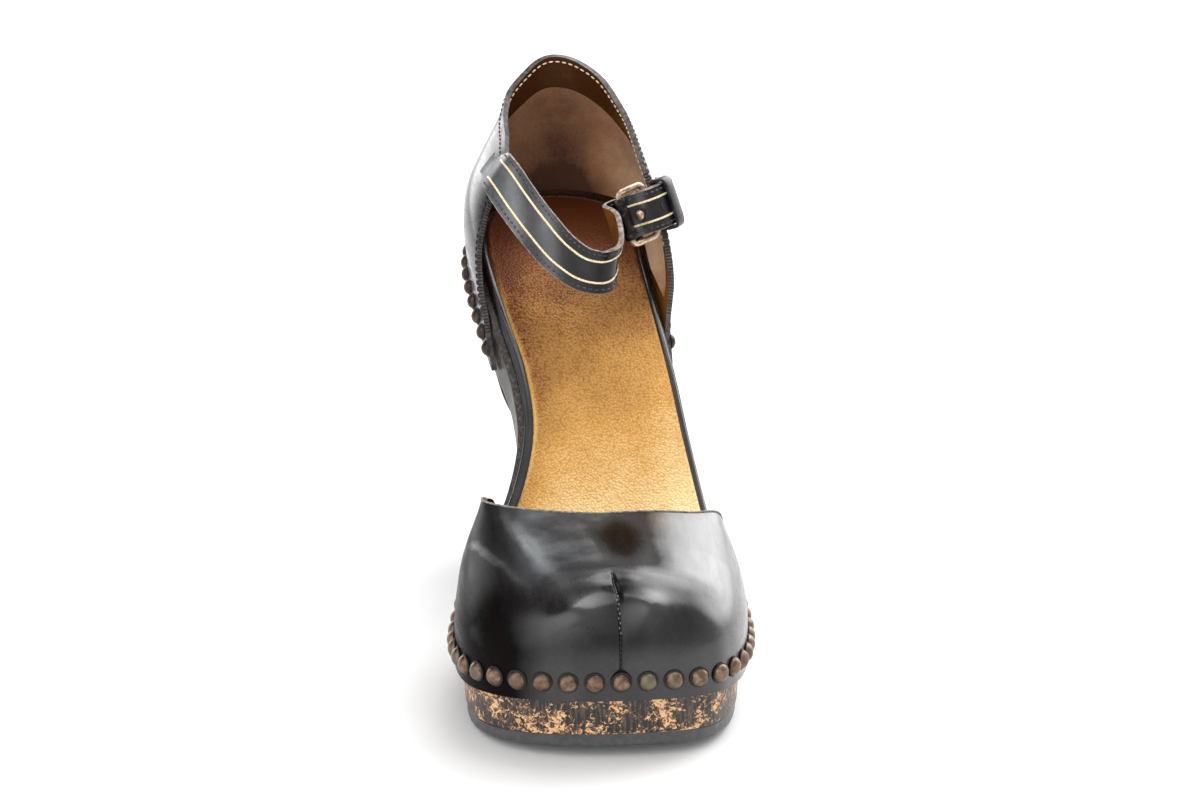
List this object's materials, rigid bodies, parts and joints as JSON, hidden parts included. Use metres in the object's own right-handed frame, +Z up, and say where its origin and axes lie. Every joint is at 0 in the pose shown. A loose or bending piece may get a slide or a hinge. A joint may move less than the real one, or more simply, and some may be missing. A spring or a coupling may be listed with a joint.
{
  "type": "ankle strap heel",
  "caption": "Closed-toe platform heel with an open waist: nailed leather vamp and heel counter on a painted wooden sole, with a buckled ankle strap. Left shoe, standing empty.",
  "frame": {"origin": "middle of the bounding box in plan, on the plane the shoe stands on", "axes": "+Y from the toe to the heel, +X towards the outer side of the foot, +Z up"},
  "size_m": [0.101, 0.2293, 0.1728],
  "materials": {
    "black_leather": "glossy",
    "painted_wood": "satin, rubbed through",
    "rubber": "matte",
    "gold_leather": "metallic, grained",
    "antique_brass": "aged"
  },
  "bodies": {
    "root": {"wood_sole": "painted_wood", "heel": "painted_wood", "outsole": "rubber", "heel_lift": "rubber", "insole": "gold_leather", "vamp": "black_leather", "counter": "black_leather", "ankle_strap": "black_leather", "chape": "black_leather", "keeper": "black_leather", "buckle_frame": "antique_brass", "buckle_roller": "antique_brass", "buckle_prong": "antique_brass", "nail_toe": "antique_brass", "nail_medial_01": "antique_brass", "nail_medial_02": "antique_brass", "nail_medial_03": "antique_brass", "nail_medial_04": "antique_brass", "nail_medial_05": "antique_brass", "nail_medial_06": "antique_brass", "nail_medial_07": "antique_brass", "nail_medial_08": "antique_brass", "nail_medial_09": "antique_brass", "nail_medial_10": "antique_brass", "nail_medial_11": "antique_brass", "nail_medial_12": "antique_brass", "nail_medial_13": "antique_brass", "nail_medial_14": "antique_brass", "nail_medial_15": "antique_brass", "nail_lateral_01": "antique_brass", "nail_lateral_02": "antique_brass", "nail_lateral_03": "antique_brass", "nail_lateral_04": "antique_brass", "nail_lateral_05": "antique_brass", "nail_lateral_06": "antique_brass", "nail_lateral_07": "antique_brass", "nail_lateral_08": "antique_brass", "nail_lateral_09": "antique_brass", "nail_lateral_10": "antique_brass", "nail_lateral_11": "antique_brass", "nail_lateral_12": "antique_brass", "nail_lateral_13": "antique_brass", "nail_lateral_14": "antique_brass", "nail_lateral_15": "antique_brass"}
  },
  "joints": []
}
